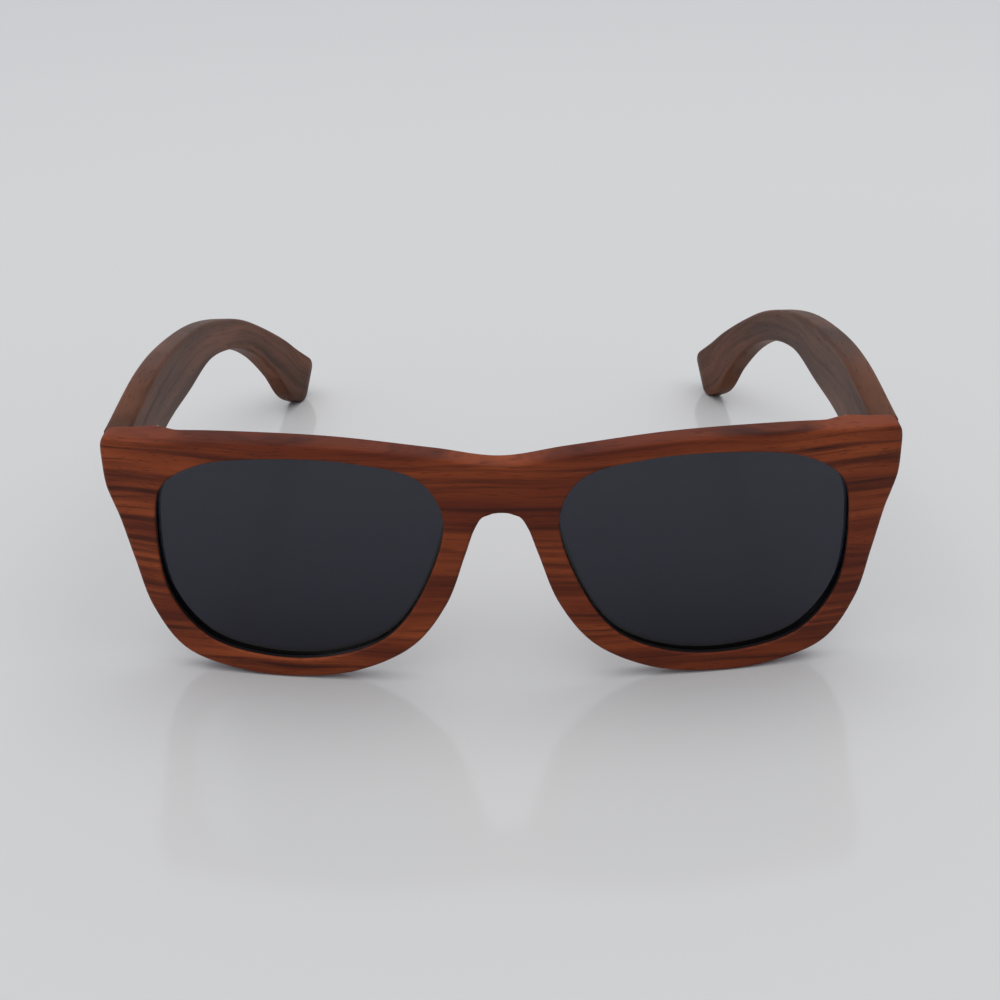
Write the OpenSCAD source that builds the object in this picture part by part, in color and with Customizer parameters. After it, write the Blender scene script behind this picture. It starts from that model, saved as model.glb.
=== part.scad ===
// Wooden sunglasses: a carved hardwood front with two set-in lenses, and two bent
// hardwood temples that fold on sprung hinges.
// X runs across the face, Y from the front back along the temples, and Z is up.
// The rims and the temple tips stand on Z = 0, and the origin is under the middle.
// Left and right are the wearer's, so left is towards +X.

/* [Lenses] */
// Width of each lens opening
lens_w = 53.5; // [48:0.5:58]
// Height of each lens opening
lens_h = 43.2; // [38:0.2:47]
// Thickness of each lens
lens_t = 1.8; // [1.4:0.1:2.2]
// Depth of the lens behind the face of the rim
lens_set = 1.4; // [1:0.1:1.7]
// Depth of the groove that holds the edge of the lens
groove_d = 1; // [0.6:0.1:1.3]
// Play round the edge of the lens in its groove
lens_play = 0.1; // [0.05:0.05:0.2]

/* [Front] */
// Distance between the two lens openings
bridge_w = 21; // [18:0.5:26]
// Height of the bridge at its middle
bridge_h = 10; // [8:0.2:12]
// Dip of the top edge at the bridge
bridge_dip = 3.6; // [2:0.2:5]
// Height of the brow above each opening
brow_h = 3.4; // [3:0.1:5]
// Height of the rim under each opening
rim_bottom = 4.4; // [3.6:0.1:6]
// Width of the rim beside each opening
rim_side = 5.3; // [4.5:0.1:6]
// Width of the end piece outside each opening
end_w = 8.7; // [8.4:0.1:11]
// Thickness of the rims
rim_t = 4.4; // [4:0.1:5]
// Thickness of the end piece at its outer top corner
end_t = 3.7; // [3.4:0.1:6]
// Fall of the top edge from the brow to the outer corner
end_drop = 1.4; // [0.8:0.1:2]
// Rounding of the outer top corner
corner_r = 1.4; // [1.2:0.1:2.4]
// Height of the outer side of the end piece
end_side_h = 18.1; // [16.6:0.1:19]
// Width over which the back of the rim rises to the end piece
end_blend = 6; // [4:0.5:8]
// Height of the carved nose lands behind the rims
nose_t = 3; // [1:0.2:4]
// Radius of the bow of the front, seen from above
bow_r = 300; // [240:10:500]
// Lean of the front, top forward, in degrees
lean = 3; // [0:0.5:6]
// Rounding of the outer edges
edge_r = 0.8; // [0.4:0.1:1]
// Rounding of the back edges where a temple meets the end piece
butt_edge_r = 0.25; // [0.2:0.05:0.5]
// Rounding of the edges of the openings
open_r = 0.4; // [0.2:0.1:0.5]

/* [Temples] */
// Reach of the temples behind the front
temple_reach = 132.5; // [122:0.5:142]
// Thickness of the temples at the hinge
temple_t = 5; // [4.6:0.1:5.2]
// Thickness of the temples at the tip
tip_t = 4.2; // [3.6:0.1:5]
// Step from the top of the end piece down to the temple
top_step = 0.2; // [0.1:0.1:0.8]
// Step from the side of the end piece in to the temple
side_step = 0.35; // [0.15:0.05:0.6]
// Height of the temples at the hinge
root_h = 13.4; // [13:0.2:15]
// Height of the temples at the bend
neck_h = 7.1; // [6:0.1:9]
// Height of the temple tips
tip_h = 12.4; // [10:0.2:13]
// Radius of the corners of the tips
tip_r = 4.3; // [3:0.1:4.6]
// How much more the lower corner of a tip is rounded than the upper one
tip_skew = 1.2; // [0:0.1:2]
// Length of the straight part behind the hinge
straight_l = 33.5; // [28:0.5:45]
// Radius of the inward curve of the temples, seen from above
hug_r = 322; // [280:2:500]
// Rounding of the long edges of the temples
temple_edge_r = 0.9; // [0.5:0.1:1.2]
// Gap between a temple and the end piece
butt_gap = 0.15; // [0.1:0.05:0.3]

/* [Hinges] */
// Radius of the knuckles
knuckle_r = 1.6; // [1.4:0.1:1.6]
// Height of each knuckle on the front leaf
knuckle_h = 1.6; // [1.2:0.1:1.8]
// Height of the tongue between the knuckles
tongue_h = 1.8; // [1.4:0.1:2]
// Radius of the hinge screw
pin_r = 0.7; // [0.5:0.05:0.8]
// Radial play of the hinge screw and of the tongue's rod
pin_play = 0.05; // [0.02:0.01:0.09]
// Radius of the hinge screw's head
pin_head_r = 1.15; // [1:0.05:1.4]
// Height of the hinge screw's head
pin_head_h = 0.7; // [0.5:0.1:0.9]
// Play between the knuckles
knuckle_play = 0.06; // [0.04:0.01:0.1]
// Width of the webs that carry the knuckles
web_w = 2.4; // [2:0.1:2.8]
// Distance of the hinge below the middle of the temple's root
hinge_drop = 3.1; // [2:0.1:3.2]
// Distance of the hinge screw behind the end piece
pin_back = 2.2; // [2:0.1:2.6]
// Distance of the hinge screw from the inner face of the temple
pin_in = 1.9; // [1.9:0.05:2.2]
// Thickness of the plates let into the wood
plate_t = 0.9; // [0.7:0.1:1.1]
// Length of the front leaf's plate
leaf_l = 11; // [10.8:0.1:11.6]
// Width of the front leaf's plate
leaf_w = 3.1; // [2.9:0.1:3.2]
// Distance of the front leaf's plate from the temple
leaf_gap = 0.25; // [0.2:0.05:0.4]
// Distance between the screws of the front leaf
leaf_pitch = 7.6; // [7.5:0.1:7.8]
// Width of the spring case's plate
case_plate_w = 3.4; // [3:0.1:3.6]
// Distance from the end of the case to the first screw, and from the last to the plate's end
case_screw_edge = 1.4; // [1.2:0.1:2]
// Distance between the screws of the spring case
case_pitch = 2.3; // [2.2:0.1:3]
// Radius of the wood screws
screw_r = 0.5; // [0.4:0.05:0.6]
// Length of the wood screws
screw_l = 3.4; // [2.6:0.1:3.6]
// Radius of the heads of the wood screws
screw_head_r = 1; // [0.8:0.05:1.1]
// Width of the slots in the screws
slot_w = 0.25; // [0.2:0.05:0.35]
// Play of each metal piece in its seat
seat_play = 0.04; // [0.02:0.01:0.08]

/* [Springs] */
// Radius of the tongue's rod
rod_r = 0.55; // [0.4:0.05:0.55]
// Radius of the spring's bore in the case
bore_r = 1.15; // [1.15:0.05:1.3]
// Wall of the case round the bore
case_wall = 0.5; // [0.4:0.1:0.6]
// Length of the case's front wall
case_front = 1.2; // [0.8:0.1:1.6]
// Length of the case's rear wall
case_cap = 0.8; // [0.6:0.1:1.2]
// Room behind the end of the rod
case_room = 0.4; // [0.2:0.1:0.8]
// Length of the spring at rest
spring_l = 6; // [5.4:0.2:7]
// Diameter of the spring's wire
wire_d = 0.32; // [0.24:0.02:0.36]
// Turns of the spring
spring_turns = 6; // [4:1:7]
// Length of the collar at the end of the rod
collar_l = 1.2; // [0.8:0.1:1.6]
// Length of the rod behind the collar
rod_tail = 0.2; // [0.1:0.1:0.6]
// Width of the tongue's shank
shank_w = 1.6; // [1.3:0.1:2]
// Distance from the hinge screw to the case
case_back = 3.4; // [3.2:0.1:4]

/* [Hidden] */

wood = [0.46, 0.22, 0.13];
smoke = [0.17, 0.17, 0.2];
steel = [0.72, 0.73, 0.75];
LEFT = 1;
RIGHT = -1;

// Steps of each outline between two of its anchors
rim_steps = 3;
// Steps of each temple between two of its anchors
temple_steps = 4;
// Steps of the rounded end of a temple
tip_steps = 5;

// The front drawn flat: X across, second coordinate up from the rim's lowest point
lens_x = (bridge_w + lens_w) / 2;
lens_up = rim_bottom + lens_h / 2;
half_w = bridge_w / 2 + lens_w + end_w;
front_h = rim_bottom + lens_h + brow_h;
bridge_top = front_h - bridge_dip;
bridge_low = bridge_top - bridge_h;

// Shape of the opening, nasal side first, then over the top, in half widths and heights
opening_shape = [
    [-1, 0.48], [-0.85, 0.84], [-0.42, 0.99], [0.18, 1], [0.64, 0.9], [0.92, 0.66], [1, 0.2],
    [0.96, -0.44], [0.72, -0.85], [0.29, -1], [-0.2, -0.95], [-0.6, -0.7], [-0.88, -0.14]
];
// Shape of the rim below the end piece, in half widths and heights of the rim
rim_shape = [
    [1, -0.08], [0.93, -0.49], [0.76, -0.835], [0.415, -0.985], [0.05, -1], [-0.295, -0.92],
    [-0.63, -0.685], [-0.837, -0.32], [-0.956, 0.1]
];
opening = [for (p = opening_shape) [lens_x + p[0] * lens_w / 2, lens_up + p[1] * lens_h / 2]];
outline = concat(
    [
        [0, bridge_top],
        [0.57 * bridge_w, front_h - 0.53 * bridge_dip],
        [lens_x - 0.13 * lens_w, front_h],
        [lens_x + 0.24 * lens_w, front_h],
        [half_w - 0.76 * end_w, front_h - 0.8 * end_drop],
        [half_w - corner_r, front_h - end_drop],
        [half_w - 0.3 * corner_r, front_h - end_drop - 0.8 * corner_r],
        [half_w, front_h - 0.4 * end_side_h],
        [half_w - 0.01 * end_w, front_h - 0.64 * end_side_h],
        [half_w - 0.1 * end_w, front_h - 0.825 * end_side_h],
        [half_w - 0.2 * end_w, front_h - end_side_h]
    ],
    [for (p = rim_shape) [
        lens_x + p[0] * (lens_w / 2 + rim_side),
        lens_up + p[1] * (lens_h / 2 + rim_bottom)
    ]],
    [
        [0.21 * bridge_w, bridge_low - 0.26 * bridge_h],
        [0, bridge_low]
    ]
);

// Point on a smooth curve through p1 and p2, with the spacing of the anchors evened out
function knot(a, b) = sqrt(norm(b - a));
function curve_at(p0, p1, p2, p3, u) =
    let (
        k1 = knot(p0, p1),
        k2 = k1 + knot(p1, p2),
        k3 = k2 + knot(p2, p3),
        t = k1 + u * (k2 - k1),
        a1 = (p0 * (k1 - t) + p1 * t) / k1,
        a2 = (p1 * (k2 - t) + p2 * (t - k1)) / (k2 - k1),
        a3 = (p2 * (k3 - t) + p3 * (t - k2)) / (k3 - k2),
        b1 = (a1 * (k2 - t) + a2 * t) / k2,
        b2 = (a2 * (k3 - t) + a3 * (t - k1)) / (k3 - k1)
    )
    (b1 * (k2 - t) + b2 * (t - k1)) / (k2 - k1);
function open_curve(p, steps, before, after) =
    let (q = concat([before], p, [after]))
    concat(
        [for (i = [0:len(p) - 2], j = [0:steps - 1])
            curve_at(q[i], q[i + 1], q[i + 2], q[i + 3], j / steps)],
        [p[len(p) - 1]]
    );
function mirrored(p) = [-p[0], p[1]];
function unit(v) = v / norm(v);
function left_of(v) = unit([-v[1], v[0]]);
function blend(a, b, f) = a + (b - a) * f;
function ramp(from, to, v) = let (f = max(0, min(1, (v - from) / (to - from)))) f * f * (3 - 2 * f);

// Point of the opening's curve, u counted in anchors, and its normal into the wood
function opening_at(u) =
    let (n = len(opening), i = floor(u))
    curve_at(opening[(i + n - 1) % n], opening[i % n], opening[(i + 1) % n], opening[(i + 2) % n], u - i);
function opening_normal(u) = left_of(opening_at(u + 0.01) - opening_at(u + len(opening) - 0.01));

// Angle about the middle of the lens, from the opening's first anchor over the top
function lens_angle(p) = atan2(p[1] - lens_up, p[0] - lens_x);
function turn(p) = (lens_angle(opening[0]) - lens_angle(p) + 720) % 360;
opening_turns = concat(
    [for (k = [0:len(opening) * 8 - 1]) [turn(opening_at(k / 8)), k / 8]],
    [[360, len(opening)]]
);

// Outline and its normals, then the middle of the bridge back up to the start
rim_points = open_curve(outline, rim_steps, mirrored(outline[1]), mirrored(outline[len(outline) - 2]));
rim_last = len(rim_points) - 1;
rim_normals = [for (i = [0:rim_last])
    i == 0 ? [0, 1] : i == rim_last ? [0, -1] : left_of(rim_points[i + 1] - rim_points[i - 1])];
bridge_steps = 4;
bridge_points = [for (k = [1:bridge_steps - 1])
    [0, blend(bridge_low + edge_r, bridge_top - edge_r, k / bridge_steps)]];
station_points = concat(rim_points, bridge_points);
station_count = len(station_points);

// Depth of the bowed surfaces: d is measured in from the face of the front
function bowed(x, d) = bow_r - sqrt((bow_r - d) ^ 2 - x ^ 2);
// Plane that the temples butt against, across the back of both end pieces
butt_y = bowed(half_w, 0) * cos(lean) - front_h * sin(lean) + end_t;
end_low = front_h - end_side_h - 0.4 * end_blend;
function on_end_piece(p) =
    ramp(half_w - end_w - end_blend, half_w - end_w, p[0]) * ramp(end_low - end_blend, end_low, p[1]);
// Nose lands: they fade out towards the lens, at the bottom and under the bridge
function nose_land(p) =
    nose_t * ramp(bridge_w / 2 + 1.1 * rim_side, bridge_w / 2 - 0.2 * rim_side, p[0])
    * ramp(0.14 * lens_h, 0.35 * lens_h, p[1])
    * ramp(bridge_low - 0.1 * bridge_h, bridge_low - 0.8 * bridge_h, p[1]);
function back_depth(p) =
    blend(
        bowed(p[0], rim_t + nose_land(p)),
        (butt_y + p[1] * sin(lean)) / cos(lean),
        on_end_piece(p)
    );
// Rounding of the back edges, nearly square where a temple meets the end piece
function back_r(p) = blend(edge_r, butt_edge_r, on_end_piece(p));
function face_point(p, d) = [p[0], bowed(p[0], d), p[1]];
function back_point(p, d) = [p[0], back_depth(p) - d, p[1]];
function leaned(p) = [p[0], p[1] * cos(lean) - p[2] * sin(lean), p[1] * sin(lean) + p[2] * cos(lean)];

// One section of the rim, from the opening over the face, round the outside and back
// through the lens groove. At the middle of the bridge the outside is left open.
soft = 1 - sqrt(0.5);
function rim_section(i) =
    let (
        u = lookup(turn(station_points[i]), opening_turns),
        g = opening_at(u),
        into = opening_normal(u),
        o = station_points[i],
        out = i > rim_last ? [0, 0] : rim_normals[i],
        g1 = g + into * open_r * soft,
        g2 = g + into * open_r,
        o1 = o - out * edge_r * soft,
        o2 = o - out * edge_r,
        br = back_r(o),
        b1 = o - out * br * soft,
        b2 = o - out * br,
        floor_p = g + into * groove_d,
        groove_front = lens_set - lens_play,
        groove_back = lens_set + lens_t + lens_play,
        er = i > rim_last ? 0 : edge_r
    )
    [
        face_point(g, open_r),
        face_point(g1, open_r * soft),
        face_point(g2, 0),
        face_point(blend(g2, o2, 0.5), 0),
        face_point(o2, 0),
        face_point(o1, er * soft),
        face_point(o, er),
        back_point(o, i > rim_last ? 0 : br),
        back_point(b1, i > rim_last ? 0 : br * soft),
        back_point(b2, 0),
        back_point(blend(b2, g2, 0.33), 0),
        back_point(blend(b2, g2, 0.67), 0),
        back_point(g2, 0),
        back_point(g1, open_r * soft),
        back_point(g, open_r),
        face_point(g, groove_back),
        face_point(floor_p, groove_back),
        face_point(floor_p, groove_front),
        face_point(g, groove_front)
    ];
half_front = [for (i = [0:station_count - 1]) each [for (p = rim_section(i)) leaned(p)]];
section_count = len(half_front) / station_count;
front_lift = -min([for (p = half_front) p[2]]);

// Faces of a band of sections. At the bridge's middle the two halves meet, so the walls from
// the fifth to the tenth point of the section, which are those round the outside, are left out.
function is_wall(i, j) = i < rim_last || j < 4 || j >= 9;
function band(i, j) = i % station_count * section_count + j % section_count;
half_faces = [for (i = [0:station_count - 1], j = [0:section_count - 1]) if (is_wall(i, j))
    each [
        [band(i, j), band(i + 1, j + 1), band(i + 1, j)],
        [band(i, j), band(i, j + 1), band(i + 1, j + 1)]
    ]];

// Temples: anchors behind the root and before the tip, in shares of the reach, and the
// share of the height that each has between the neck's and the root's or the tip's
shaft_anchors = [[0, 0, 1], [0.19, 0.007, 0.93], [0.37, -0.0095, 0.78], [0.528, -0.0265, 0.21]];
drop_anchors = [[-0.288, 0.21, 0], [-0.192, 0.158, 0.075], [-0.097, 0.085, 0.59], [-0.038, 0.0265, 1.08]];
root_y = butt_y + butt_gap;
end_top = bowed(half_w, end_t) * sin(lean) + (front_h - end_drop) * cos(lean) + front_lift;
root_z = end_top - top_step - root_h / 2;
tip_y = root_y + temple_reach - tip_r;
temple_x = half_w - side_step;

function temple_anchors(tip_z) = concat(
    [for (a = shaft_anchors) [
        root_y + a[0] * temple_reach, root_z + a[1] * temple_reach, blend(neck_h, root_h, a[2])
    ]],
    [for (a = drop_anchors) [
        tip_y + a[0] * temple_reach, tip_z + a[1] * temple_reach, blend(neck_h, tip_h, a[2])
    ]],
    [[tip_y, tip_z, tip_h]]
);
// Outer face of a temple, seen from above
function hug(y) =
    let (past = max(0, y - root_y - straight_l))
    temple_x - hug_r + sqrt(hug_r ^ 2 - past ^ 2);
function temple_thick(y) =
    blend(temple_t, tip_t, ramp(root_y + straight_l, root_y + temple_reach, y));
// A ring is a rounded rectangle: q along the height, off inwards from the outer face
function ring(at, up, h, inset) =
    let (r = temple_edge_r)
    [for (corner = [[1, 0], [1, 1], [-1, 1], [-1, 0]], k = [0:2])
        let (
            side_first = corner[0] * (corner[1] - 0.5) > 0,
            a = side_first ? 90 - 45 * k : 45 * k,
            q = corner[0] * (h - r + r * sin(a)),
            p = at + up * q,
            thick = temple_thick(p[0]),
            cut = r - r * cos(a) + inset,
            off = corner[1] == 0 ? cut : thick - cut
        )
        [hug(p[0]) - off, p[0], p[1]]];
function temple_rings(tip_z) =
    let (
        anchors = temple_anchors(tip_z),
        n = len(anchors),
        line = open_curve(
            anchors, temple_steps, anchors[0] - [straight_l / 3, 0, 0], anchors[n - 1] * 2 - anchors[n - 2]
        ),
        last = len(line) - 1,
        ahead = unit([for (k = [0:1]) line[last][k] - line[last - 1][k]]),
        up = left_of(ahead)
    )
    concat(
        [for (i = [0:last])
            let (run = line[min(i + 1, last)] - line[max(i - 1, 0)])
            ring(
                [line[i][0], line[i][1]],
                i == 0 ? [0, 1] : i == last ? up : left_of(run),
                line[i][2] / 2,
                0
            )],
        [for (k = [1:tip_steps])
            let (a = 90 * k / tip_steps, drop = 1 - cos(a))
            ring(
                [line[last][0], line[last][1]] + ahead * tip_r * sin(a) + up * tip_skew * drop,
                up,
                tip_h / 2 - tip_r * drop,
                temple_edge_r * drop / 2
            )]
    );
// The tips come down to the height of the rims' lowest points
tip_z = -min([for (r = temple_rings(0)) each [for (p = r) p[2]]]);
rings = temple_rings(tip_z);
ring_size = len(rings[0]);
temple_points = [for (r = rings) each r];
temple_faces = concat(
    [[for (j = [ring_size - 1:-1:0]) j]],
    [for (i = [0:len(rings) - 2], j = [0:ring_size - 1]) each
        let (a = i * ring_size + j, b = i * ring_size + (j + 1) % ring_size)
        [[a, b + ring_size, a + ring_size], [a, b, b + ring_size]]],
    [[for (j = [0:ring_size - 1]) (len(rings) - 1) * ring_size + j]]
);

// Places of the hinge: its screw, and the stations of the spring along the temple
temple_in = temple_x - temple_t;
pin_x = temple_in - pin_in;
pin_y = butt_y + pin_back;
hinge_z = root_z - hinge_drop;
hole_r = pin_r + pin_play;
stack_h = tongue_h + 2 * (knuckle_play + knuckle_h);
spring_from = case_back + case_front;
spring_to = spring_from + spring_l;
rod_end = spring_to + collar_l + rod_tail;
bore_end = rod_end + case_room;
case_end = bore_end + case_cap;
first_screw = case_end + case_screw_edge;
case_plate_end = first_screw + case_pitch + case_screw_edge;
leaf_shift = pin_in - leaf_gap - leaf_w / 2;
head_h = screw_head_r - screw_r;

// Middle of the whole, along the temples
mid_y = (min([for (p = half_front) p[1]]) + max([for (p = temple_points) p[1]])) / 2;

// Spring: a wire that winds from one flat end to the other
coil_r = (bore_r + rod_r) / 2;
coil_rings = 8;
wire_sides = 6;
coil_end = wire_d / 2 + seat_play;
coil_pitch = (spring_l - 2 * coil_end) / spring_turns;
function coil_point(k) =
    let (a = 360 * k / coil_rings)
    [coil_r * cos(a), spring_from + coil_end + coil_pitch * k / coil_rings, coil_r * sin(a)];
coil_line = [for (k = [0:spring_turns * coil_rings]) coil_point(k)];
coil_gap = min([for (i = [0:len(coil_line) - 1], j = [i + coil_rings / 2:len(coil_line) - 1])
    if (j < len(coil_line)) norm(coil_line[j] - coil_line[i])]) - wire_d;
echo(least_gap_between_spring_turns = coil_gap);
coil_points = [for (k = [0:len(coil_line) - 1], s = [0:wire_sides - 1])
    let (
        p = coil_line[k],
        a = 360 * s / wire_sides,
        out = unit([p[0], 0, p[2]])
    )
    p + (out * cos(a) + [0, 1, 0] * sin(a)) * wire_d / 2];
coil_faces = concat(
    [[for (s = [0:wire_sides - 1]) s]],
    [for (k = [0:len(coil_line) - 2], s = [0:wire_sides - 1]) each
        let (a = k * wire_sides + s, b = k * wire_sides + (s + 1) % wire_sides)
        [[a, b + wire_sides, b], [a, a + wire_sides, b + wire_sides]]],
    [[for (s = [wire_sides - 1:-1:0]) (len(coil_line) - 1) * wire_sides + s]]
);

// How far a cut runs on past the faces that it opens
cut_past = 1;

// Puts a piece on its side of the face, with the origin under the middle
module on_side(side) {
    translate([0, -mid_y, 0]) mirror([side == RIGHT ? 1 : 0, 0, 0]) children();
}

// Puts a piece of the hinge, drawn round its screw, in its place
module at_hinge(side) {
    on_side(side) translate([pin_x, pin_y, hinge_z]) children();
}

// Cylinder along Y from one station to another
module rod(r, from, to) {
    translate([0, from, 0]) rotate([-90, 0, 0]) cylinder(r = r, h = to - from, $fn = 32);
}

// Plate with one or two round ends, drawn flat, from its rear edge up
module round_plate(length, width, ends, play) {
    r = width / 2 + play;
    from = ends == 2 ? -length / 2 + width / 2 : -play;
    to = ends == 2 ? length / 2 - width / 2 : length - width / 2;
    translate([-r, from]) square([2 * r, to - from]);
    translate([0, to]) circle(r = r, $fn = 48);
    if (ends == 2) translate([0, from]) circle(r = r, $fn = 48);
}

// Countersunk screw that points along +Z, with its head flush at the origin
module wood_screw(grow) {
    cylinder(r = screw_r + grow, h = screw_l + grow, $fn = 32);
    translate([0, 0, -grow]) cylinder(r1 = screw_head_r + grow, r2 = screw_r, h = head_h + grow, $fn = 32);
}

module slotted_wood_screw() {
    difference() {
        wood_screw(0);
        translate([-screw_head_r, -slot_w / 2, -screw_head_r])
            cube([2 * screw_head_r, slot_w, screw_head_r + 0.8 * slot_w]);
    }
}

// Places of the screws, each turned to point into the wood
module leaf_screw_places() {
    for (end = [-1, 1])
        translate([leaf_shift, -pin_back, end * leaf_pitch / 2]) rotate([90, 0, 0]) children();
}

module case_screw_places() {
    for (k = [0, 1])
        translate([pin_in, first_screw + k * case_pitch, 0]) rotate([0, 90, 0]) children();
}

module leaf_plate(play) {
    translate([leaf_shift, -pin_back, 0])
        rotate([90, 0, 0]) translate([0, 0, -play]) linear_extrude(plate_t + 2 * play)
            round_plate(leaf_l, leaf_w, 2, play);
}

module case_plate(play) {
    translate([pin_in, case_back, 0])
        rotate([0, 90, 0]) translate([0, 0, -play]) linear_extrude(plate_t + 2 * play)
            round_plate(case_plate_end - case_back, case_plate_w, 1, play);
}

module front_frame() {
    color(wood) difference() {
        translate([0, -mid_y, front_lift])
            polyhedron(
                concat(half_front, [for (p = half_front) [-p[0], p[1], p[2]]]),
                concat(half_faces, [for (f = half_faces) [for (k = [2:-1:0]) f[k] + len(half_front)]])
            );
        for (side = [LEFT, RIGHT]) {
            at_hinge(side) leaf_plate(seat_play);
            at_hinge(side) leaf_screw_places() wood_screw(seat_play);
        }
    }
}

// A lens is cut from a bowed sheet, to the outline of the opening let into its groove
module lens(side) {
    outline_steps = 5;
    edge = groove_d - lens_play;
    places = [for (k = [0:len(opening) * outline_steps - 1]) k / outline_steps];
    color(smoke) on_side(side) translate([0, 0, front_lift]) rotate([lean, 0, 0]) intersection() {
        rotate([90, 0, 0]) translate([0, 0, -bow_r / 2]) linear_extrude(bow_r / 2)
            polygon([for (u = places) opening_at(u) + opening_normal(u) * edge]);
        translate([0, bow_r, 0]) difference() {
            cylinder(r = bow_r - lens_set, h = front_h, $fn = 720);
            translate([0, 0, -cut_past])
                cylinder(r = bow_r - lens_set - lens_t, h = front_h + 2 * cut_past, $fn = 720);
        }
    }
}

module temple(side) {
    color(wood) difference() {
        on_side(side) polyhedron(temple_points, temple_faces);
        at_hinge(side) case_plate(seat_play);
        at_hinge(side) case_screw_places() wood_screw(seat_play);
    }
}

module front_leaf(side) {
    color(steel) at_hinge(side) difference() {
        union() {
            leaf_plate(0);
            for (end = [-1, 1]) {
                low = end * (tongue_h / 2 + knuckle_play) - (end < 0 ? knuckle_h : 0);
                translate([0, 0, low]) cylinder(r = knuckle_r, h = knuckle_h, $fn = 48);
                translate([-web_w / 2, -pin_back - plate_t / 2, low])
                    cube([web_w, pin_back, knuckle_h]);
            }
        }
        translate([0, 0, -stack_h]) cylinder(r = hole_r, h = 2 * stack_h, $fn = 32);
        leaf_screw_places() wood_screw(seat_play);
    }
}

module leaf_screws(side) {
    color(steel) at_hinge(side) leaf_screw_places() slotted_wood_screw();
}

module hinge_screw(side) {
    under_head = stack_h / 2 + seat_play;
    color(steel) at_hinge(side) difference() {
        union() {
            translate([0, 0, -stack_h / 2])
                cylinder(r = pin_r, h = stack_h / 2 + under_head + pin_head_h / 2, $fn = 32);
            translate([0, 0, under_head]) cylinder(r = pin_head_r, h = pin_head_h, $fn = 32);
        }
        translate([-pin_head_r, -slot_w / 2, under_head + pin_head_h / 2])
            cube([2 * pin_head_r, slot_w, pin_head_h]);
    }
}

module hinge_tongue(side) {
    color(steel) at_hinge(side) difference() {
        union() {
            translate([0, 0, -tongue_h / 2]) cylinder(r = knuckle_r, h = tongue_h, $fn = 48);
            translate([-shank_w / 2, 0, -tongue_h / 2])
                cube([shank_w, case_back - seat_play, tongue_h]);
            rod(rod_r, case_back - seat_play - rod_r, rod_end);
        }
        translate([0, 0, -tongue_h]) cylinder(r = hole_r, h = 2 * tongue_h, $fn = 32);
    }
}

module spring_collar(side) {
    color(steel) at_hinge(side) difference() {
        rod(bore_r - pin_play, spring_to, spring_to + collar_l);
        rod(rod_r + seat_play / 2, spring_to - cut_past, spring_to + collar_l + cut_past);
    }
}

module hinge_spring(side) {
    color(steel) at_hinge(side) polyhedron(coil_points, coil_faces);
}

module spring_case(side) {
    body_r = bore_r + case_wall;
    color(steel) at_hinge(side) difference() {
        union() {
            rod(body_r, case_back, case_end);
            translate([0, case_back, -body_r]) cube([pin_in, case_end - case_back, 2 * body_r]);
            case_plate(0);
        }
        rod(bore_r, spring_from, bore_end);
        rod(rod_r + pin_play, case_back - cut_past, spring_from + cut_past);
        case_screw_places() wood_screw(seat_play);
    }
}

module case_screws(side) {
    color(steel) at_hinge(side) case_screw_places() slotted_wood_screw();
}

front_frame();
lens(LEFT);  // left_lens
lens(RIGHT);  // right_lens
temple(LEFT);  // left_temple
temple(RIGHT);  // right_temple
front_leaf(LEFT);  // left_front_leaf
front_leaf(RIGHT);  // right_front_leaf
leaf_screws(LEFT);  // left_leaf_screws
leaf_screws(RIGHT);  // right_leaf_screws
hinge_screw(LEFT);  // left_hinge_screw
hinge_screw(RIGHT);  // right_hinge_screw
hinge_tongue(LEFT);  // left_hinge_tongue
hinge_tongue(RIGHT);  // right_hinge_tongue
spring_collar(LEFT);  // left_spring_collar
spring_collar(RIGHT);  // right_spring_collar
hinge_spring(LEFT);  // left_hinge_spring
hinge_spring(RIGHT);  // right_hinge_spring
spring_case(LEFT);  // left_spring_case
spring_case(RIGHT);  // right_spring_case
case_screws(LEFT);  // left_case_screws
case_screws(RIGHT);  // right_case_screws
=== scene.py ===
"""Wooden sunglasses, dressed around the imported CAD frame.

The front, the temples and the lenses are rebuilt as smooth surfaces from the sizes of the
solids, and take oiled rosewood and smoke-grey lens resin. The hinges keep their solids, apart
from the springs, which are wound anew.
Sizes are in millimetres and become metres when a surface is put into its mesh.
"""

import logging
import math
from dataclasses import dataclass
from enum import Enum

import bpy
import numpy as np
from mathutils import Matrix, Vector


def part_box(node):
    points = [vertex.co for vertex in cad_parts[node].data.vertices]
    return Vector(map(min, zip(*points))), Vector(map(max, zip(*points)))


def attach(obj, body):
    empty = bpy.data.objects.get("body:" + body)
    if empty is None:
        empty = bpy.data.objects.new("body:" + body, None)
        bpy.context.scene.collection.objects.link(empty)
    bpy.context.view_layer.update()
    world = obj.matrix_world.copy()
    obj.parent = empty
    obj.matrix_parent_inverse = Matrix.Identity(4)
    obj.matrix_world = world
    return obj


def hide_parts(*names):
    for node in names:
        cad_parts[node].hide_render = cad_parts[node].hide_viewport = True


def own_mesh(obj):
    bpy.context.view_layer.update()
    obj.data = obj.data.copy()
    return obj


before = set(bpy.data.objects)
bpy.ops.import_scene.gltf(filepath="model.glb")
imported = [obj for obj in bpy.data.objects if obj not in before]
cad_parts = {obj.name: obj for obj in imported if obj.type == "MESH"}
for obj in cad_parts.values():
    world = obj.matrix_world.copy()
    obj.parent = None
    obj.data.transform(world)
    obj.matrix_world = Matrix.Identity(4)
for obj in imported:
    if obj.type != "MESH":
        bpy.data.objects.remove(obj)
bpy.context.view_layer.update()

MM = 0.001
# Attribute of the wooden pieces: millimetres along the grain, across it and into the wood
GRAIN = "grain_mm"
# Carries a point to its twin on the other side of the face
MIRROR = np.array([-1.0, 1.0, 1.0])
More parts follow.
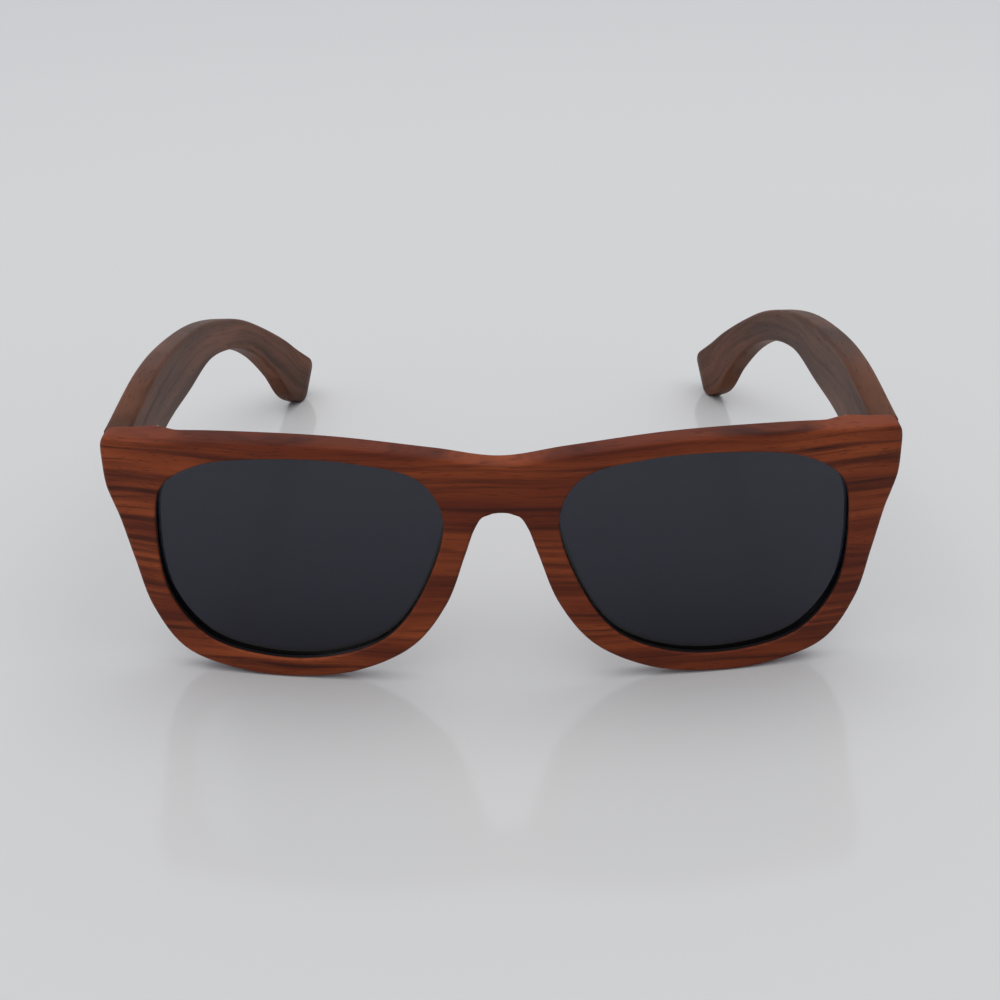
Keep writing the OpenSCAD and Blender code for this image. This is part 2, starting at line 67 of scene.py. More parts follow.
# A point nearer the middle plane than this lies on it, in millimetres
ON_MIDDLE = 1e-9
# Sockets of a Mix node that mixes colours
MIX_FACTOR, MIX_BASE, MIX_OVER, MIX_RESULT = 0, 6, 7, 2
log = logging.getLogger("sunglasses")

Array = np.ndarray
Material = bpy.types.Material
Object = bpy.types.Object
Socket = bpy.types.NodeSocket
Pair = tuple[float, float]
Triple = tuple[float, float, float]


class Side(Enum):
    """A side of the face, as the wearer has it, with its sign along X."""

    LEFT = 1
    RIGHT = -1

    @property
    def word(self) -> str:
        """The side as it stands in the names of pieces, nodes, bodies and joints."""
        return self.name.lower()


# Curves


def curve_at(
        anchors: Array, places: Array, closed: bool,
        before: Array | None = None, after: Array | None = None) -> Array:
    """Points on a smooth curve through anchors, a centripetal Catmull-Rom curve.

    The knots between four anchors are the square roots of the anchors' distances, and a point
    is three rounds of straight blends between neighbours, weighted by the knots.

    Args:
        anchors: the anchors, one per row.
        places: where the points lie, counted in anchors.
        closed: whether the curve returns to its first anchor.
        before: the ghost anchor before an open curve.
        after: the ghost anchor after an open curve.

    Returns:
        One point per place.
    """
    count = len(anchors)
    if closed:
        first = np.floor(places).astype(int)
        p0, p1, p2, p3 = (anchors[(first + k) % count] for k in (-1, 0, 1, 2))
    else:
        first = np.clip(np.floor(places).astype(int), 0, count - 2)
        full = np.vstack([before, anchors, after])
        p0, p1, p2, p3 = (full[first + k] for k in (0, 1, 2, 3))
    share = (places - first)[:, None]
    k1 = np.sqrt(np.linalg.norm(p1 - p0, axis=1))[:, None]
    k2 = k1 + np.sqrt(np.linalg.norm(p2 - p1, axis=1))[:, None]
    k3 = k2 + np.sqrt(np.linalg.norm(p3 - p2, axis=1))[:, None]
    t = k1 + share * (k2 - k1)
    a1 = (p0 * (k1 - t) + p1 * t) / k1
    a2 = (p1 * (k2 - t) + p2 * (t - k1)) / (k2 - k1)
    a3 = (p2 * (k3 - t) + p3 * (t - k2)) / (k3 - k2)
    b1 = (a1 * (k2 - t) + a2 * t) / k2
    b2 = (a2 * (k3 - t) + a3 * (t - k1)) / (k3 - k1)
    return (b1 * (k2 - t) + b2 * (t - k1)) / (k2 - k1)


def left_of(run: Array) -> Array:
    """Unit vectors a quarter turn to the left of each run."""
    turned = np.column_stack([-run[:, 1], run[:, 0]])
    return turned / np.linalg.norm(turned, axis=1)[:, None]


def ramp(start: float, stop: float, value: Array) -> Array:
    """A smooth step from 0 at start to 1 at stop: 3f squared less 2f cubed."""
    f = np.clip((value - start) / (stop - start), 0.0, 1.0)
    return f * f * (3.0 - 2.0 * f)


# Meshes


def put_mesh(
        name: str, points: Array, faces: list, finishes: list, finish_of: list | None = None,
        sharp_deg: float = 40.0, grain: Array | None = None) -> Object:
    """Puts a surface into a new object at the origin.

    Args:
        name: the piece's name.
        points: the vertices, in millimetres.
        faces: vertex numbers of each face.
        finishes: the materials.
        finish_of: the number of each face's material, where it isn't always the first.
        sharp_deg: edges that turn by more than this stay crisp.
        grain: where each vertex of a wooden piece lies in the grain, in millimetres.

    Returns:
        The object, linked to the scene.
    """
    mesh = bpy.data.meshes.new(name)
    mesh.from_pydata((points * MM).tolist(), [], faces)
    for material in finishes:
        mesh.materials.append(material)
    if finish_of is not None:
        mesh.polygons.foreach_set("material_index", finish_of)
    mesh.polygons.foreach_set("use_smooth", [True] * len(faces))
    mesh.set_sharp_from_angle(angle=math.radians(sharp_deg))
    if grain is not None:
        layer = mesh.attributes.new(GRAIN, "FLOAT_VECTOR", "POINT")
        layer.data.foreach_set("vector", grain.ravel())
    mesh.update()
    piece = bpy.data.objects.new(name, mesh)
    bpy.context.scene.collection.objects.link(piece)
    return piece


def band_faces(rings: int, size: int, around: bool) -> Array:
    """Quads between neighbouring rings of a grid.

    Args:
        rings: how many rings there are.
        size: how many points each ring has.
        around: whether the last ring joins the first.

    Returns:
        Vertex numbers, in the shape (bands, size, 4).
    """
    i = np.arange(rings if around else rings - 1)[:, None]
    j = np.arange(size)[None, :]
    here, there = i * size, (i + 1) % rings * size
    j1 = (j + 1) % size
    return np.stack([here + j, there + j, there + j1, here + j1], axis=-1)


def tube_faces(rings: int, size: int) -> list:
    """Faces of a closed tube: quads between its rings, and one face over each end.

    Args:
        rings: how many rings there are.
        size: how many points each ring has.

    Returns:
        Vertex numbers of each face.
    """
    first = np.arange(size)
    ends = np.stack([first, first[::-1] + (rings - 1) * size])
    return band_faces(rings, size, False).reshape(-1, 4).tolist() + ends.tolist()


def turned_over(faces: list) -> list:
    """The same faces with their other side out."""
    return [face[::-1] for face in faces]


# Finishes


def linear(code: str) -> tuple[float, float, float, float]:
    """A colour written as an sRGB hex code, in linear light by the sRGB curve, and opaque."""
    srgb = [int(code[k:k + 2], 16) / 255 for k in (0, 2, 4)]
    return *(c / 12.92 if c <= 0.04045 else ((c + 0.055) / 1.055) ** 2.4 for c in srgb), 1.0


def add_node(
        tree: bpy.types.NodeTree, kind: str, settings: dict | None = None,
        links: dict | None = None) -> bpy.types.Node:
    """Adds a node to a tree.

    Args:
        tree: the material's or the world's node tree.
        kind: the node's type.
        settings: values of its properties, and of its sockets where no property has that name.
        links: the output that goes into each named or numbered socket.

    Returns:
        The node.
    """
    node = tree.nodes.new(kind)
    for key, value in (settings or {}).items():
        if isinstance(key, str) and hasattr(node, key):
            setattr(node, key, value)
        else:
            node.inputs[key].default_value = value
    for key, output in (links or {}).items():
        tree.links.new(output, node.inputs[key])
    return node


def new_material(name: str) -> tuple:
    """Makes a material that has only its output node.

    Args:
        name: the material's name.

    Returns:
        The material, its tree and that node.
    """
    material = bpy.data.materials.new(name)
    material.use_nodes = True
    tree = material.node_tree
    tree.nodes.clear()
    return material, tree, add_node(tree, "ShaderNodeOutputMaterial")


def set_stops(node: bpy.types.Node, stops: list) -> None:
    """Gives a colour ramp its stops.

    Args:
        node: the colour ramp.
        stops: a place and a colour for each stop.
    """
    elements = node.color_ramp.elements
    while len(elements) < len(stops):
        elements.new(0.5)
    for element, (place, colour) in zip(elements, stops):
        element.position = place
        element.color = colour


@dataclass(frozen=True)
class Spots:
    """A noise's spots in wood: width across the grain, and length and depth as multiples of it."""

    width_mm: float
    along: float
    deep: float
    detail: float


@dataclass(frozen=True)
class Rosewood:
    """Rosewood, sanded and oiled: red-brown heartwood with dark growth streaks and open pores.

    The oil gives the eye a soft satin sheen, and the pores show as short dark dashes. It soaks
    in, so the wood mirrors less than a varnish would.
    """

    name: str
    pale: str
    middle: str
    dark: str
    streak: str
    streak_share: float = 1.0
    pore_share: float = 0.5
    figure: Spots = Spots(7.0, 9.0, 3.0, 2.0)
    streaks: Spots = Spots(1.25, 36.0, 8.0, 3.0)
    pores: Spots = Spots(0.3, 14.0, 1.5, 1.0)
    # The streaks wander this far over stretches of this size
    drift_mm: float = 2.0
    drift: Spots = Spots(16.0, 2.125, 1.875, 1.0)
    noise_roughness: float = 0.55
    # Levels of the noises: the three tones, and where a streak or a pore starts and is full
    tone_at: Triple = (0.34, 0.5, 0.66)
    streak_at: Pair = (0.56, 0.3)
    pore_at: Pair = (0.4, 0.28)
    # Pores lie this far below the sanded face, and streaks a share of it
    pore_depth_mm: float = 0.02
    streak_depth: float = 0.4
    bump: float = 0.3
    # On the sanded face and in a pore
    roughness: Pair = (0.55, 0.7)
    specular: float = 0.2
    ior: float = 1.47

    def build(self) -> Material:
        """Builds the material.

        Broad figure, growth streaks and pores are three noises drawn out along the grain.
        The streaks wander, because a slow noise pushes them across the grain.

        Returns:
            The material, which reads the grain attribute of its piece.
        """
        material, tree, out = new_material(self.name)
        place = add_node(tree, "ShaderNodeAttribute", {"attribute_name": GRAIN}).outputs["Vector"]

        def drawn_out(vector: Socket, spots: Spots) -> Socket:
            """Draws spots out along the grain.

            Args:
                vector: the place in the grain.
                spots: their size.

            Returns:
                The level of their noise.
            """
            across = spots.width_mm
            scale = (1 / (across * spots.along), 1 / across, 1 / (across * spots.deep))
            scaled = add_node(tree, "ShaderNodeMapping", {"Scale": scale}, {"Vector": vector})
            noise = add_node(
                tree, "ShaderNodeTexNoise",
                {"Scale": 1.0, "Detail": spots.detail, "Roughness": self.noise_roughness},
                {"Vector": scaled.outputs[0]})
            return noise.outputs["Fac"]

        push = add_node(
            tree, "ShaderNodeMapRange", {"To Min": -self.drift_mm, "To Max": self.drift_mm},
            {"Value": drawn_out(place, self.drift)})
        pushed = add_node(tree, "ShaderNodeCombineXYZ", {}, {"Y": push.outputs[0]})
        wood = add_node(
            tree, "ShaderNodeVectorMath", {"operation": "ADD"},
            {0: place, 1: pushed.outputs[0]}).outputs[0]

        tone = add_node(tree, "ShaderNodeValToRGB", {}, {"Fac": drawn_out(wood, self.figure)})
        tones = [linear(code) for code in (self.dark, self.middle, self.pale)]
        set_stops(tone, list(zip(self.tone_at, tones)))
        colour = tone.outputs["Color"]
        shares = []
        for spots, (start, full), most in (
                (self.streaks, self.streak_at, self.streak_share),
                (self.pores, self.pore_at, self.pore_share)):
            share = add_node(
                tree, "ShaderNodeMapRange", {"From Min": start, "From Max": full, "To Max": most},
                {"Value": drawn_out(wood, spots)}).outputs[0]
            colour = add_node(
                tree, "ShaderNodeMix", {"data_type": "RGBA", MIX_OVER: linear(self.streak)},
                {MIX_FACTOR: share, MIX_BASE: colour}).outputs[MIX_RESULT]
            shares.append(share)
        depth = add_node(
            tree, "ShaderNodeMath", {"operation": "MULTIPLY_ADD", 1: self.streak_depth},
            {0: shares[0], 2: shares[1]}).outputs[0]
        bump = add_node(
            tree, "ShaderNodeBump",
            {"invert": True, "Strength": self.bump, "Distance": self.pore_depth_mm * MM},
            {"Height": depth})
        gloss = add_node(
            tree, "ShaderNodeMapRange",
            {"To Min": self.roughness[0], "To Max": self.roughness[1]}, {"Value": depth})
        shader = add_node(
            tree, "ShaderNodeBsdfPrincipled",
            {"IOR": self.ior, "Specular IOR Level": self.specular},
            {"Base Color": colour, "Roughness": gloss.outputs[0], "Normal": bump.outputs[0]})
        tree.links.new(shader.outputs[0], out.inputs["Surface"])
        return material


@dataclass(frozen=True)
class MarkedFinish:
    """A finish of one colour with fine marks, which vary its gloss and can lie in its face."""

    name: str
    colour: str
    roughness: Pair
    # A mark's width, its length along Z as a multiple of it, and its depth
    mark_mm: float
    mark_along: float = 1.0
    mark_depth_mm: float = 0.0
    bump: float = 0.0
    detail: float = 2.0
    metallic: float = 0.0
    # The shader's default, which a metal keeps
    ior: float = 1.5

    def build(self) -> Material:
        """Builds the material, whose marks are a noise that can be drawn out along Z.

        Returns:
            The material.
        """
        material, tree, out = new_material(self.name)
        place = add_node(tree, "ShaderNodeTexCoord")
        fine = 1 / (self.mark_mm * MM)
        scaled = add_node(
            tree, "ShaderNodeMapping", {"Scale": (fine, fine, fine / self.mark_along)},
            {"Vector": place.outputs["Object"]})
        marks = add_node(
            tree, "ShaderNodeTexNoise", {"Scale": 1.0, "Detail": self.detail},
            {"Vector": scaled.outputs[0]}).outputs["Fac"]
        gloss = add_node(
            tree, "ShaderNodeMapRange",
            {"To Min": self.roughness[0], "To Max": self.roughness[1]}, {"Value": marks})
        links = {"Roughness": gloss.outputs[0]}
        if self.bump:
            links["Normal"] = add_node(
                tree, "ShaderNodeBump",
                {"Strength": self.bump, "Distance": self.mark_depth_mm * MM},
                {"Height": marks}).outputs[0]
        shader = add_node(
            tree, "ShaderNodeBsdfPrincipled",
            {"Base Color": linear(self.colour), "Metallic": self.metallic, "IOR": self.ior}, links)
        tree.links.new(shader.outputs[0], out.inputs["Surface"])
        return material


@dataclass(frozen=True)
class BlackLacquer(MarkedFinish):
    """Black lacquer brushed on the bare walls of the lens openings: dark, with a dull gloss."""

    name: str = "black_lacquer"
    colour: str = "0b0a0a"
    roughness: Pair = (0.3, 0.5)
    mark_mm: float = 0.6
    mark_depth_mm: float = 0.01
    bump: float = 0.2


@dataclass(frozen=True)
class StainlessSteel(MarkedFinish):
    """Stainless steel, stamped and barrel-polished: bright grey with fine scratches."""

    roughness: Pair = (0.18, 0.42)
    # Real scratches are finer, and these are as coarse as they need to be to show
    mark_mm: float = 0.12
    mark_along: float = 10.0
    mark_depth_mm: float = 0.004
    bump: float = 0.15
    metallic: float = 1.0


@dataclass(frozen=True)
class TableLaminate(MarkedFinish):
    """Pale table laminate: smooth, with a soft gloss that varies in broad clouds."""

    name: str = "pale_table_laminate"
    colour: str = "d6d7d9"
    roughness: Pair = (0.09, 0.14)
    mark_mm: float = 250.0
    detail: float = 1.0
    ior: float = 1.45


@dataclass(frozen=True)
class SmokeResin:
    """Allyl lens resin, cast and dip-dyed smoke grey: a mirror-smooth face over a dark tint.

    The tint is a little deeper and bluer towards the lower edge: painted shade, for the table
    near the frame, which lies in shade and which the lens mirrors and shows there. A thin
    coating takes some of the glare off both faces, so the IOR is below the resin's own 1.5.
    """

    name: str = "allyl_resin_smoke"
    # The lens's tint above, and below it a deeper, bluer colour that is painted shade
    upper: str = "2a2d37"
    lower: str = "17162a"
    # Heights above the table at which the tint has its two colours, the lower one painted shade
    upper_mm: float = 42.0
    full_shade_mm: float = 8.0
    swirl_mm: float = 18.0
    swirl_bend: float = 0.6
    roughness: Pair = (0.02, 0.055)
    ior: float = 1.42

    def build(self) -> Material:
        """Builds the material, whose gloss has the faint haze that wiping leaves.

        Returns:
            The material.
        """
        material, tree, out = new_material(self.name)
        place = add_node(tree, "ShaderNodeTexCoord").outputs["Object"]
        haze = add_node(
            tree, "ShaderNodeTexNoise",
            {"Scale": 1 / (self.swirl_mm * MM), "Detail": 3.0, "Distortion": self.swirl_bend},
            {"Vector": place})
        gloss = add_node(
            tree, "ShaderNodeMapRange",
            {"To Min": self.roughness[0], "To Max": self.roughness[1]},
            {"Value": haze.outputs["Fac"]})
        part = add_node(tree, "ShaderNodeSeparateXYZ", {}, {"Vector": place})
        height = add_node(
            tree, "ShaderNodeMapRange",
            {"From Min": self.full_shade_mm * MM, "From Max": self.upper_mm * MM},
            {"Value": part.outputs["Z"]})
        # Painted shade: the tint grows deeper and bluer towards the lower edge
        tint_and_painted_shade = add_node(tree, "ShaderNodeValToRGB", {}, {"Fac": height.outputs[0]})
        set_stops(tint_and_painted_shade, [(0.0, linear(self.lower)), (1.0, linear(self.upper))])
        shader = add_node(
            tree, "ShaderNodeBsdfPrincipled", {"IOR": self.ior, "Transmission Weight": 1.0},
            {"Base Color": tint_and_painted_shade.outputs["Color"], "Roughness": gloss.outputs[0]})
        tree.links.new(shader.outputs[0], out.inputs["Surface"])
        return material


# Pieces


@dataclass
class FrontSizes:
    """Sizes of the front and its lenses: the solids', but for a flatter arch under the bridge."""

    lens_w: float = 53.5
    lens_h: float = 43.2
    lens_t: float = 1.8
    lens_set: float = 1.4
    groove_d: float = 1.0
    lens_play: float = 0.1
    bridge_w: float = 21.0
    bridge_h: float = 10.0
    bridge_dip: float = 3.6
    brow_h: float = 3.4
    rim_bottom: float = 4.4
    rim_side: float = 5.3
    end_w: float = 8.7
    rim_t: float = 4.4
    end_t: float = 3.7
    end_drop: float = 1.4
    corner_r: float = 1.4
    end_side_h: float = 18.1
    end_blend: float = 6.0
    nose_t: float = 3.0
    bow_r: float = 300.0
    lean: float = math.radians(3.0)
    edge_r: float = 0.8
    open_r: float = 0.4
    butt_edge_r: float = 0.25
    # The wood lies this far under the hinge plates, which are let in flush
    let_in: float = 0.06
    # Anchors of the opening, in shares of half its width and height, from the lens's middle
    opening_shape: tuple[Pair, ...] = (
        (-1, 0.48), (-0.85, 0.84), (-0.42, 0.99), (0.18, 1), (0.64, 0.9), (0.92, 0.66), (1, 0.2),
        (0.96, -0.44), (0.72, -0.85), (0.29, -1), (-0.2, -0.95), (-0.6, -0.7), (-0.88, -0.14))
    # Anchors of the end piece's side, in shares of its width inwards and its height down
    side_shape: tuple[Pair, ...] = ((0, 0.4), (0.01, 0.64), (0.1, 0.825), (0.2, 1))
    # Anchors of the rim, as those of the opening, with the rim's own width and height added
    rim_shape: tuple[Pair, ...] = (
        (1, -0.08), (0.93, -0.49), (0.76, -0.835), (0.415, -0.985), (0.05, -1), (-0.295, -0.92),
        (-0.63, -0.685), (-0.837, -0.32), (-0.956, 0.1))
    # Anchors of the arch, in shares of the bridge's width and height, from its underside
    arch_shape: tuple[Pair, ...] = ((0.225, -0.323), (0.151, -0.083), (0, 0))
    # Where the nose land rises: shares of the rim's width, the lens's height and the bridge's
    land_beside: Pair = (1.1, -0.2)
    land_above: Pair = (0.14, 0.35)
    land_under: Pair = (-0.1, -0.8)
    # The blend to the end piece starts this share of its length below the end piece
    blend_below: float = 0.4
    # Step between places that gives the opening's direction, in anchors
    nudge: float = 0.01

    def __post_init__(self) -> None:
        """Works out the sizes and the anchors that follow from the others."""
        self.lens_x = (self.bridge_w + self.lens_w) / 2
        self.lens_up = self.rim_bottom + self.lens_h / 2
        self.half_w = self.bridge_w / 2 + self.lens_w + self.end_w
        self.front_h = self.rim_bottom + self.lens_h + self.brow_h
        self.bridge_top = self.front_h - self.bridge_dip
        self.bridge_low = self.bridge_top - self.bridge_h
        self.end_in = self.half_w - self.end_w
        self.end_low = self.front_h - self.end_side_h - self.blend_below * self.end_blend
        corner = self.face(np.array([self.half_w, self.front_h]), 0.0)
        self.butt_y = self.leaned(corner)[1] + self.end_t
        self.middle = np.array([self.lens_x, self.lens_up])
        half = np.array([self.lens_w, self.lens_h]) / 2
        self.opening = self.middle + half * np.array(self.opening_shape)
        top, wide, corner = self.front_h, self.half_w, self.corner_r
        end_top = top - self.end_drop
        # Anchors from the middle of the bridge along the brow to the end piece's corner
        brow = [
            (0, self.bridge_top),
            (0.57 * self.bridge_w, top - 0.53 * self.bridge_dip),
            (self.lens_x - 0.13 * self.lens_w, top),
            (self.lens_x + 0.24 * self.lens_w, top),
            (wide - 0.76 * self.end_w, top - 0.8 * self.end_drop),
            (wide - corner, end_top),
            (wide - 0.3 * corner, end_top - 0.8 * corner)]
        side = [wide, top] - np.array(self.side_shape) * [self.end_w, self.end_side_h]
        rim = self.middle + (half + [self.rim_side, self.rim_bottom]) * np.array(self.rim_shape)
        arch = [0, self.bridge_low] + np.array(self.arch_shape) * [self.bridge_w, self.bridge_h]
        self.outline = np.vstack([brow, side, rim, arch])

    def bowed(self, x: float | Array, depth: float | Array) -> float | Array:
        """How far back a bowed surface lies: the bow's radius less the height of its circle."""
        return self.bow_r - np.sqrt((self.bow_r - depth) ** 2 - x ** 2)

    def face(self, p: Array, depth: float | Array) -> Array:
        """Points of the drawing, put at a depth behind the bowed face of the front."""
        return np.stack([p[..., 0], self.bowed(p[..., 0], depth), p[..., 1]], axis=-1)

    def on_end_piece(self, p: Array) -> Array:
        """1 on the end pieces and 0 on the rims: a smooth step in width times one in height."""
        across = ramp(self.end_in - self.end_blend, self.end_in, p[..., 0])
        return across * ramp(self.end_low - self.end_blend, self.end_low, p[..., 1])

    def nose_land(self, p: Array) -> Array:
        """Height of the carved nose land: a ridge beside the nose that fades out at its ends.

        Args:
            p: points of the drawing, with their X and height.

        Returns:
            The product of three smooth steps, times the land's full height.
        """
        x, z = p[..., 0], p[..., 1]
        beside = (self.bridge_w / 2 + share * self.rim_side for share in self.land_beside)
        above = (share * self.lens_h for share in self.land_above)
        under = (self.bridge_low + share * self.bridge_h for share in self.land_under)
        return self.nose_t * ramp(*beside, x) * ramp(*above, z) * ramp(*under, z)

    def back_depth(self, p: Array) -> Array:
        """How far back the back of the front lies: a blend of the bowed back and the butt plane.

        Args:
            p: points of the drawing, with their X and height.

        Returns:
            One depth per point.
        """
        back = self.bowed(p[..., 0], self.rim_t + self.nose_land(p))
        butt = (self.butt_y - self.let_in + p[..., 1] * math.sin(self.lean)) / math.cos(self.lean)
        return back + (butt - back) * self.on_end_piece(p)

    def leaned(self, points: Array) -> Array:
        """Points of the upright front leaned back: a turn about X by the angle of the lean."""
        c, s = math.cos(self.lean), math.sin(self.lean)
        return points @ np.array([(1, 0, 0), (0, c, s), (0, -s, c)])

    def opening_points(self, places: Array) -> tuple[Array, Array]:
        """Follows the opening's curve.

        Args:
            places: where the points lie, counted in anchors.

        Returns:
            The points, and their normals into the wood.
        """
        count = len(self.opening)
        points = curve_at(self.opening, places, True)
        ahead = curve_at(self.opening, (places + self.nudge) % count, True)
        behind = curve_at(self.opening, (places - self.nudge) % count, True)
        return points, left_of(ahead - behind)


@dataclass
class Placing:
    """Where the drawn front lies in the row's frame: its lift and the middle along Y."""

    lift: float
    mid_y: float

    def move(self, points: Array) -> Array:
        """Points moved from the drawing to the row's frame."""
        return points + [0.0, -self.mid_y, self.lift]


@dataclass
class FrontGrid:
    """Half of the front: a grid whose rows are sections, and where its surfaces change.

    The rows after last_rim go up the middle of the bridge. The columns from outside to
    outside_end are the outer edge, and those from lacquered on are the opening's wall.
    """

    points: Array
    last_rim: int
    outside: int
    outside_end: int
    lacquered: int


@dataclass
class FrontFrame:
    """The one-piece wooden front with its two openings."""

    sizes: FrontSizes
    wood: Material
    lacquer: Material
    # Where in its board the front was cut: along the grain, across it and into it
    board_mm: Triple = (2100.0, 420.0, 70.0)
    rim_steps: int = 14
    bridge_steps: int = 14
    edge_steps: int = 6
    face_steps: int = 12
    wall_steps: int = 3
    back_steps: int = 18
    match_steps: int = 40
    sharp_deg: float = 50.0

    def stations(self) -> tuple[Array, Array, int]:
        """Follows the outline, then the middle of the bridge back up to the start.

        Returns:
            The points, their normals out of the wood, and the number of the outline's last.
        """
        s = self.sizes
        places = np.arange((len(s.outline) - 1) * self.rim_steps + 1) / self.rim_steps
        before, after = (s.outline[k] * MIRROR[:2] for k in (1, -2))
        rim = curve_at(s.outline, places, False, before, after)
        normals = left_of(np.gradient(rim, axis=0))
        rim[[0, -1], 0] = 0.0
        normals[0], normals[-1] = (0, 1), (0, -1)
        low, high = s.bridge_low + s.edge_r, s.bridge_top - s.edge_r
        up = np.linspace(low, high, self.bridge_steps + 1)[1:-1]
        bridge = np.column_stack([np.zeros_like(up), up])
        return np.vstack([rim, bridge]), np.vstack([normals, 0 * bridge]), len(rim) - 1

    def paired_places(self, stations: Array) -> Array:
        """Pairs each station with the place on the opening at the same angle.

        Args:
            stations: points of the outline and the bridge.

        Returns:
            Places on the opening, counted in anchors.
        """
        s = self.sizes

        def turn(p: Array) -> Array:
            """Angle about the lens's middle from the opening's first anchor, over the top."""
            angle, first = (np.arctan2(*(q - s.middle).T[::-1]) for q in (p, s.opening[0]))
            return (first - angle) % (2 * math.pi)

        count = len(s.opening)
        places = np.linspace(0, count, count * self.match_steps + 1)
        turns = turn(curve_at(s.opening, places[:-1], True))
        return np.interp(turn(stations), np.append(turns, 2 * math.pi), places)

    def half(self) -> FrontGrid:
        """Draws one half of the front as sections round the rim.

        A section goes from the opening over the face, round the outside and back through the
        lens groove. Its rounded edges are quarter circles, and its faces are straight blends.

        Returns:
            The grid of sections.
        """
        s = self.sizes
        o, out, last = self.stations()
        g, into = s.opening_points(self.paired_places(o) % len(s.opening))
        at_bridge = (np.arange(len(o)) > last)[:, None]
        quarter = np.linspace(0, math.pi / 2, self.edge_steps + 1)
        away, deep = 1 - np.cos(quarter), 1 - np.sin(quarter)

        def back(p: Array, d: float | Array) -> Array:
            """Points of the drawing, put d in front of the back."""
            return np.stack([p[..., 0], s.back_depth(p) - d, p[..., 1]], axis=-1)

        def moved(p: Array, along: Array, by: Array) -> Array:
            """Points carried along their normals, one column for each distance."""
            steps = np.broadcast_to(by, (len(p), by.shape[-1]))[..., None]
            return p[:, None, :] + along[:, None, :] * steps

        def between(p: Array, q: Array, steps: int) -> Array:
            """Points inside the straight runs from p to q."""
            f = np.linspace(0, 1, steps + 1)[None, 1:-1, None]
            return p[:, None, :] + (q - p)[:, None, :] * f

        edge = np.where(at_bridge, 0.0, s.edge_r)
        blunt = s.edge_r + (s.butt_edge_r - s.edge_r) * s.on_end_piece(o)[:, None]
        blunt = np.where(at_bridge, 0.0, blunt)
        g_edge = moved(g, into, s.open_r * away)
        o_edge = moved(o, -out, edge * away[::-1])
        b_edge = moved(o, -out, blunt * away)
        f_open = s.face(g_edge, s.open_r * deep)
        f_face = s.face(between(g_edge[:, -1], o_edge[:, 0], self.face_steps), 0.0)
        f_out = s.face(o_edge, edge * deep[::-1])
        b_out = back(b_edge, blunt * deep)
        wall = between(f_out[:, -1], b_out[:, 0], self.wall_steps)
        b_face = back(between(b_edge[:, -1], g_edge[:, -1], self.back_steps), 0.0)
        b_open = back(g_edge[:, ::-1], s.open_r * deep[::-1])
        floor = moved(g, into, np.array([0.0, s.groove_d, s.groove_d, 0.0]))
        near, far = s.lens_set - s.lens_play, s.lens_set + s.lens_t + s.lens_play
        groove = s.face(floor, np.array([far, far, near, near]))
        bands = [f_open, f_face, f_out, wall, b_out, b_face, b_open, groove]
        ends = np.cumsum([band.shape[1] for band in bands])
        points = s.leaned(np.concatenate(bands, axis=1))
        return FrontGrid(points, last, ends[1], ends[4] - 1, ends[6] - 1)

    def build(self, placing: Placing) -> Object:
        """Builds the front: both halves share the points on the middle plane.

        Args:
            placing: where the front lies.

        Returns:
            The front.
        """
        grid = self.half()
        rings, size = grid.points.shape[:2]
        points = placing.move(grid.points.reshape(-1, 3))
        quads = band_faces(rings, size, True)
        i, j = np.arange(rings)[:, None], np.arange(size)[None, :]
        kept = (i < grid.last_rim) | (j < grid.outside) | (j >= grid.outside_end)
        dark = np.broadcast_to(j >= grid.lacquered, kept.shape)
        quads, dark = quads[kept], dark[kept]
        own = np.arange(len(points))
        twin = np.where(np.abs(points[:, 0]) < ON_MIDDLE, own, own + len(own))
        faces = np.vstack([quads, twin[quads][:, ::-1]])
        used, faces = np.unique(faces, return_inverse=True)
        points = np.vstack([points, points * MIRROR])[used]
        piece = put_mesh(
            "rosewood_front", points, faces.reshape(-1, 4).tolist(), [self.wood, self.lacquer],
            np.tile(dark.astype(int), 2).tolist(), self.sharp_deg,
            points[:, [0, 2, 1]] + self.board_mm)
        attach(piece, "front")
        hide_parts("front_frame")
        return piece


@dataclass
class Lens:
    """A lens: a bowed sheet cut to the opening's outline, let into its groove."""

    sizes: FrontSizes
    side: Side
    tint: Material
    outline_steps: int = 14
    reach_steps: int = 10

    def build(self, placing: Placing) -> Object:
        """Builds the lens from rings that grow from its middle on the face and shrink on the back.

        Args:
            placing: where the front lies.

        Returns:
            The lens.
        """
        s = self.sizes
        places = np.arange(len(s.opening) * self.outline_steps) / self.outline_steps
        edge, into = s.opening_points(places)
        edge = edge + into * (s.groove_d - s.lens_play)
        reach = np.linspace(0, 1, self.reach_steps + 1)[1:]
        shares = np.concatenate([reach, reach[::-1]])[:, None, None]
        depths = np.array([s.lens_set, s.lens_set + s.lens_t])
        flat = s.middle + (edge - s.middle)[None] * shares
        rings = s.face(flat, np.repeat(depths, len(reach))[:, None])
        poles = s.face(np.tile(s.middle, (2, 1)), depths)
        count, size = rings.shape[:2]
        points = placing.move(s.leaned(np.vstack([rings.reshape(-1, 3), poles])))
        quads = band_faces(count, size, False).reshape(-1, 4)[:, ::-1]
        j = np.arange(size)
        j1 = (j + 1) % size
        start = (count - 1) * size
        front_fan = np.column_stack([np.full(size, count * size), j1, j])
        back_fan = np.column_stack([np.full(size, count * size + 1), start + j, start + j1])
        faces = quads.tolist() + front_fan.tolist() + back_fan.tolist()
        if self.side is Side.RIGHT:
            points, faces = points * MIRROR, turned_over(faces)
        name = self.side.word
        piece = put_mesh(f"smoke_lens_{name}", points, faces, [self.tint])
        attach(piece, "front")
        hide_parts(f"{name}_lens")
        return piece


